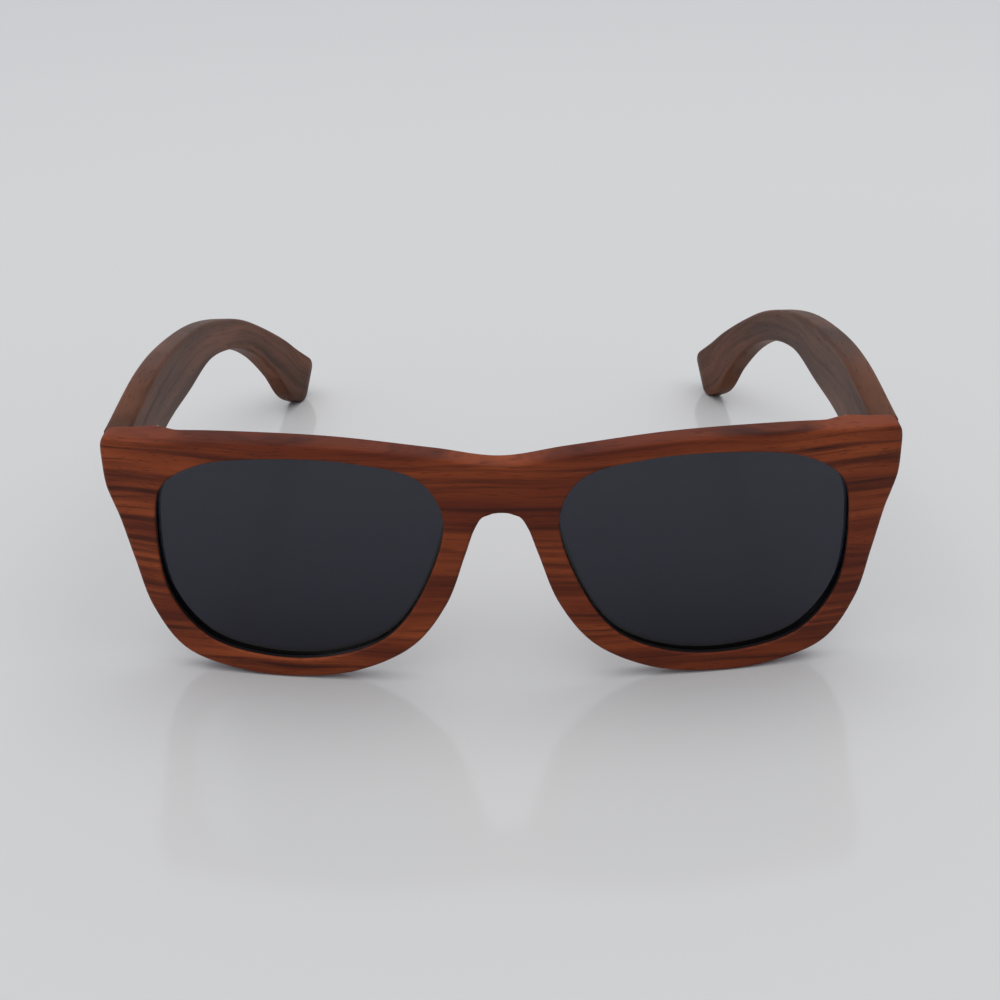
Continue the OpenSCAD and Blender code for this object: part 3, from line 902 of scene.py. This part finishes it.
@dataclass
class Temple:
    """A temple: a rounded rectangle carried along the bent centre line."""

    front: FrontSizes
    side: Side
    wood: Material
    lift: float = 0.0
    temple_reach: float = 132.5
    temple_t: float = 5.0
    tip_t: float = 4.2
    top_step: float = 0.2
    side_step: float = 0.35
    root_h: float = 13.4
    neck_h: float = 7.1
    tip_h: float = 12.4
    tip_r: float = 4.3
    tip_skew: float = 1.2
    # The edges of the tip are eased a little more than on the solid
    tip_soft: float = 1.0
    straight_l: float = 33.5
    hug_r: float = 322.0
    edge_r: float = 0.9
    butt_gap: float = 0.15
    # How far apart in their board the two temples were cut, halved
    board_mm: float = 240.0
    steps: int = 18
    tip_steps: int = 14
    corner_steps: int = 6
    # Anchors of the centre line from the root on, and up to the tip: shares of the reach behind
    # and above the root or the tip, and how far the height is from the neck's to the end's
    shaft: tuple[Triple, ...] = (
        (0, 0, 1), (0.19, 0.007, 0.93), (0.37, -0.0095, 0.78), (0.528, -0.0265, 0.21))
    drop: tuple[Triple, ...] = (
        (-0.288, 0.21, 0), (-0.192, 0.158, 0.075), (-0.097, 0.085, 0.59), (-0.038, 0.0265, 1.08),
        (0, 0, 1))

    def __post_init__(self) -> None:
        """Works out where the temple starts and ends."""
        f = self.front
        self.root_y = f.butt_y + self.butt_gap
        corner = f.face(np.array([f.half_w, f.front_h - f.end_drop]), f.end_t)
        end_top = f.leaned(corner)[2] + self.lift
        self.root_z = end_top - self.top_step - self.root_h / 2
        self.tip_y = self.root_y + self.temple_reach - self.tip_r
        self.outer_x = f.half_w - self.side_step

    def hug(self, y: Array) -> Array:
        """X of the outer face: straight behind the hinge, then on a circle towards the head."""
        past = np.maximum(0.0, y - self.root_y - self.straight_l)
        return self.outer_x - self.hug_r + np.sqrt(self.hug_r ** 2 - past ** 2)

    def thick(self, y: Array) -> Array:
        """Thickness, which eases from the hinge's to the tip's."""
        f = ramp(self.root_y + self.straight_l, self.root_y + self.temple_reach, y)
        return self.temple_t + (self.tip_t - self.temple_t) * f

    def centre_line(self, tip_z: float) -> Array:
        """Follows the centre line, a smooth curve through its anchors.

        Args:
            tip_z: height of the last anchor.

        Returns:
            The Y, the Z and the temple's height at each step.
        """
        reach, neck = self.temple_reach, self.neck_h
        ends = (
            (self.shaft, self.root_y, self.root_z, self.root_h),
            (self.drop, self.tip_y, tip_z, self.tip_h))
        anchors = np.vstack([
            np.array(shares) * [reach, reach, end_h - neck] + [end_y, end_z, neck]
            for shares, end_y, end_z, end_h in ends])
        places = np.arange((len(anchors) - 1) * self.steps + 1) / self.steps
        before = anchors[0] - [self.straight_l / 3, 0, 0]
        return curve_at(anchors, places, False, before, 2 * anchors[-1] - anchors[-2])

    def section(self) -> tuple[Array, Array, Array, Array]:
        """Draws a rounded rectangle from four quarter circles.

        Returns:
            For each point, the sign of its corner along the height, whether the corner is on
            the inner face, and its place on the quarter circle along the height and across.
        """
        a = np.linspace(0, math.pi / 2, self.corner_steps + 1)
        up = np.tile(np.concatenate([np.sin(a), np.cos(a)]), 2)
        across = np.tile(np.concatenate([np.cos(a), np.sin(a)]), 2)
        high = np.repeat([1, 1, -1, -1], len(a))
        inner = np.repeat([False, True, True, False], len(a))
        return high, inner, up, across

    def rings(self, tip_z: float) -> tuple[Array, Array]:
        """Carries the section from the butt to the rounded tip.

        Each ring stands square to the centre line. Past the last anchor the height shrinks on
        a quarter circle, and so does a little of the thickness. The grain follows the bend.

        Args:
            tip_z: height of the centre line's last anchor.

        Returns:
            The rings, and where their points lie in the grain.
        """
        line = self.centre_line(tip_z)
        run = np.gradient(line[:, :2], axis=0)
        up = left_of(run)
        up[0] = (0, 1)
        ahead = run[-1] / np.linalg.norm(run[-1])
        a = np.linspace(0, math.pi / 2, self.tip_steps + 1)[1:]
        fall = 1 - np.cos(a)
        middle = (
            line[-1, :2] + np.outer(self.tip_r * np.sin(a), ahead)
            + np.outer(self.tip_skew * fall, up[-1]))
        tip = np.column_stack([middle, self.tip_h - 2 * self.tip_r * fall])
        inset = np.concatenate([np.zeros(len(line)), self.tip_soft * fall])[:, None]
        line = np.vstack([line, tip])
        up = np.vstack([up, np.repeat(up[-1:], len(a), axis=0)])
        high, inner, round_up, round_across = self.section()
        r = self.edge_r
        q = high * (line[:, 2:3] / 2 - r + r * round_up)
        y = line[:, 0:1] + up[:, 0:1] * q
        z = line[:, 1:2] + up[:, 1:2] * q
        cut = r - r * round_across + inset
        off = np.where(inner, self.thick(y) - cut - self.front.let_in, cut)
        lengths = np.linalg.norm(np.diff(line[:, :2], axis=0), axis=1)
        along = np.append(0.0, np.cumsum(lengths))[:, None] + self.side.value * self.board_mm
        grain = np.stack(np.broadcast_arrays(along, q, off), axis=-1)
        return np.stack([self.hug(y) - off, y, z], axis=-1), grain

    def build(self, placing: Placing) -> Object:
        """Builds the temple, with its tip brought down to the table.

        Args:
            placing: where the front lies.

        Returns:
            The temple.
        """
        rings, grain = self.rings(-self.rings(0.0)[0][..., 2].min())
        points = rings.reshape(-1, 3) - [0.0, placing.mid_y, 0.0]
        faces = tube_faces(*rings.shape[:2])
        if self.side is Side.RIGHT:
            points, faces = points * MIRROR, turned_over(faces)
        name = self.side.word
        piece = put_mesh(
            f"rosewood_temple_{name}", points, faces, [self.wood], grain=grain.reshape(-1, 3))
        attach(piece, f"{name}_arm")
        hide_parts(f"{name}_temple")
        return piece


@dataclass
class Hinge:
    """A sprung hinge, whose solids stay and take their metals. Only the spring is wound anew."""

    side: Side
    plate_steel: Material
    screw_steel: Material
    plates: tuple[str, ...] = ("front_leaf", "hinge_tongue", "spring_case", "spring_collar")
    screws: tuple[str, ...] = ("leaf_screws", "case_screws", "hinge_screw")
    wire_d: float = 0.32
    turns: int = 6
    # How far the temple pulls back against the spring
    travel: float = 1.6
    turn_steps: int = 24
    wire_steps: int = 10

    def dress(self) -> None:
        """Gives each solid of the hinge its metal."""
        name = self.side.word
        for kinds, material in ((self.plates, self.plate_steel), (self.screws, self.screw_steel)):
            for kind in kinds:
                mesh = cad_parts[f"{name}_{kind}"].data
                mesh.materials.clear()
                mesh.materials.append(material)
                log.info("dressed %s_%s", name, kind)

    def spring(self) -> Object:
        """Winds the spring inside the box of its solid.

        The wire's middle goes round the box's Y axis at a fixed radius while it rises evenly,
        and the wire is a circle in the plane of that radius and the axis.

        Returns:
            The spring.
        """
        name = self.side.word
        low, high = (np.array(c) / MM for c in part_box(f"{name}_hinge_spring"))
        middle, wire_r = (low + high) / 2, self.wire_d / 2
        radius = (high[0] - low[0]) / 2 - wire_r
        steps = self.turns * self.turn_steps + 1
        angle = np.linspace(0, 2 * math.pi * self.turns, steps)[:, None]
        rise = np.linspace(low[1] + wire_r, high[1] - wire_r, steps)[:, None]
        round_wire = np.linspace(0, 2 * math.pi, self.wire_steps + 1)[None, :-1]
        out = radius + wire_r * np.cos(round_wire)
        points = np.stack([
            middle[0] + self.side.value * out * np.cos(angle),
            rise + wire_r * np.sin(round_wire),
            middle[2] + out * np.sin(angle)], axis=-1)
        faces = tube_faces(*points.shape[:2])
        # The springs are mirror images, and the left one's faces start inwards
        if self.side is Side.LEFT:
            faces = turned_over(faces)
        piece = put_mesh(f"hinge_spring_{name}", points.reshape(-1, 3), faces, [self.screw_steel])
        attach(piece, f"{name}_arm")
        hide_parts(f"{name}_hinge_spring")
        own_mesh(piece)
        return piece


# Stage


@dataclass(frozen=True)
class Softbox:
    """A rectangular lamp, with its place, target and size in metres."""

    name: str
    place: Triple
    target: Triple
    size: Pair
    watts: float
    colour: str

    def build(self) -> Object:
        """Adds the lamp to the scene.

        Returns:
            The lamp, which faces its target.
        """
        lamp = bpy.data.lights.new(self.name, "AREA")
        lamp.shape = "RECTANGLE"
        lamp.size, lamp.size_y = self.size
        lamp.energy = self.watts
        lamp.color = linear(self.colour)[:3]
        box = bpy.data.objects.new(self.name, lamp)
        box.location = self.place
        facing = Vector(self.target) - Vector(self.place)
        box.rotation_euler = facing.to_track_quat("-Z", "Y").to_euler()
        bpy.context.scene.collection.objects.link(box)
        return box


@dataclass
class Studio:
    """The pale table, the soft light and the camera at the photograph's angle."""

    mid_y: float
    table_m: float = 6.0
    sky_colour: str = "dfe3ea"
    sky_strength: float = 0.62
    # The backdrop's colours at the horizon and from a height on, as the sine of its angle
    backdrop_low: str = "c3c6ca"
    backdrop_high: str = "e2e4e7"
    backdrop_rise: float = 0.25
    overhead: Softbox = Softbox(
        "overhead_softbox", (0.1, -0.2, 1.6), (0, 0, 0), (2.2, 2.2), 20.0, "fffaf2")
    window: Softbox = Softbox(
        "window_softbox", (-0.7, -0.8, 0.5), (0, 0, 0.02), (0.3, 0.42), 3.6, "f2f6ff")
    focal_px: float = 1500.0
    image_px: float = 1000.0
    sensor_mm: float = 36.0
    clip_m: float = 0.005
    tilt: float = math.radians(27.322)
    yaw: float = math.radians(-0.735)
    roll: float = math.radians(1.196)
    eye: Triple = (2.927, -238.685, 162.6)

    def table(self) -> Object:
        """Lays a flat table top, far larger than the view.

        Returns:
            The table.
        """
        signs = np.array([(-1, -1, 0), (1, -1, 0), (1, 1, 0), (-1, 1, 0)])
        corners = signs * (self.table_m / 2 / MM)
        table = put_mesh("table", corners, [[0, 1, 2, 3]], [TableLaminate().build()])
        return table

    def sky(self) -> None:
        """Makes a pale sky that gives light, and a backdrop that grows paler with height.

        The eye sees the backdrop: straight, in a mirror or through glass.
        """
        world = bpy.data.worlds.new("studio")
        world.use_nodes = True
        bpy.context.scene.world = world
        tree = world.node_tree
        tree.nodes.clear()
        glow = add_node(
            tree, "ShaderNodeBackground",
            {"Color": linear(self.sky_colour), "Strength": self.sky_strength})
        place = add_node(tree, "ShaderNodeTexCoord")
        height = add_node(tree, "ShaderNodeSeparateXYZ", {}, {"Vector": place.outputs["Generated"]})
        paler = add_node(tree, "ShaderNodeValToRGB", {}, {"Fac": height.outputs["Z"]})
        set_stops(paler, [
            (0.0, linear(self.backdrop_low)), (self.backdrop_rise, linear(self.backdrop_high))])
        backdrop = add_node(tree, "ShaderNodeBackground", {}, {"Color": paler.outputs["Color"]})
        ray = add_node(tree, "ShaderNodeLightPath")
        seen = ray.outputs["Is Camera Ray"]
        for way in ("Is Glossy Ray", "Is Transmission Ray"):
            seen = add_node(
                tree, "ShaderNodeMath", {"operation": "ADD", "use_clamp": True},
                {0: seen, 1: ray.outputs[way]}).outputs[0]
        both = add_node(
            tree, "ShaderNodeMixShader", {}, {0: seen, 1: glow.outputs[0], 2: backdrop.outputs[0]})
        add_node(tree, "ShaderNodeOutputWorld", {}, {"Surface": both.outputs[0]})

    def lights(self, table: Object) -> None:
        """Adds a large softbox overhead and a window on the left.

        Args:
            table: the table, which the window leaves out, as it would mirror a white patch.
        """
        self.overhead.build()
        window = self.window.build()
        left_out = bpy.data.collections.new("left_out_by_window")
        left_out.objects.link(table)
        left_out.collection_objects[0].light_linking.link_state = "EXCLUDE"
        window.light_linking.receiver_collection = left_out

    def camera(self) -> None:
        """Adds the camera, whose place and turn were fitted to the photograph."""
        c, s = math.cos, math.sin
        fwd = Vector((s(self.yaw) * c(self.tilt), c(self.yaw) * c(self.tilt), -s(self.tilt)))
        right = Vector((c(self.yaw), -s(self.yaw), 0.0))
        up = right.cross(fwd)
        across = right * c(self.roll) - up * s(self.roll)
        above = right * s(self.roll) + up * c(self.roll)
        data = bpy.data.cameras.new("photo_camera")
        data.sensor_fit = "HORIZONTAL"
        data.sensor_width = self.sensor_mm
        data.lens = self.focal_px / self.image_px * self.sensor_mm
        data.clip_start = self.clip_m
        camera = bpy.data.objects.new("photo_camera", data)
        turn = Matrix((across, above, -fwd)).transposed().to_4x4()
        eye = Vector(self.eye) - Vector((0, self.mid_y, 0))
        camera.matrix_world = Matrix.Translation(eye * MM) @ turn
        bpy.context.scene.collection.objects.link(camera)
        bpy.context.scene.camera = camera


def main() -> None:
    """Builds the pieces in order, dresses the hinges and sets the stage."""
    logging.basicConfig(level=logging.INFO)
    bpy.context.scene.view_settings.view_transform = "Standard"
    front_wood = Rosewood("rosewood_front_oiled", "823b19", "692b10", "551d09", "371106").build()
    temple_wood = Rosewood(
        "rosewood_temple_oiled", "6e4029", "57311e", "442514", "30180d",
        streak_share=0.7, roughness=(0.4, 0.55), specular=0.1).build()
    lacquer = BlackLacquer().build()
    tint = SmokeResin().build()
    plate_steel = StainlessSteel("stainless_steel_polished", "c9cbcf").build()
    screw_steel = StainlessSteel("stainless_steel_screws", "aeb0b4", (0.24, 0.48)).build()

    sizes = FrontSizes()
    front = FrontFrame(sizes, front_wood, lacquer)
    lowest = front.half().points.min(axis=(0, 1))
    placing = Placing(-lowest[2], lowest[1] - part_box("front_frame")[0][1] / MM)

    pieces = [front.build(placing)]
    for side in Side:
        pieces.append(Lens(sizes, side, tint).build(placing))
        pieces.append(Temple(sizes, side, temple_wood, placing.lift).build(placing))
        hinge = Hinge(side, plate_steel, screw_steel)
        hinge.dress()
        pieces.append(hinge.spring())
    for piece in pieces:
        log.info("built %s with %d faces", piece.name, len(piece.data.polygons))

    studio = Studio(placing.mid_y)
    studio.sky()
    studio.lights(studio.table())
    studio.camera()


if __name__ == "__main__":
    main()
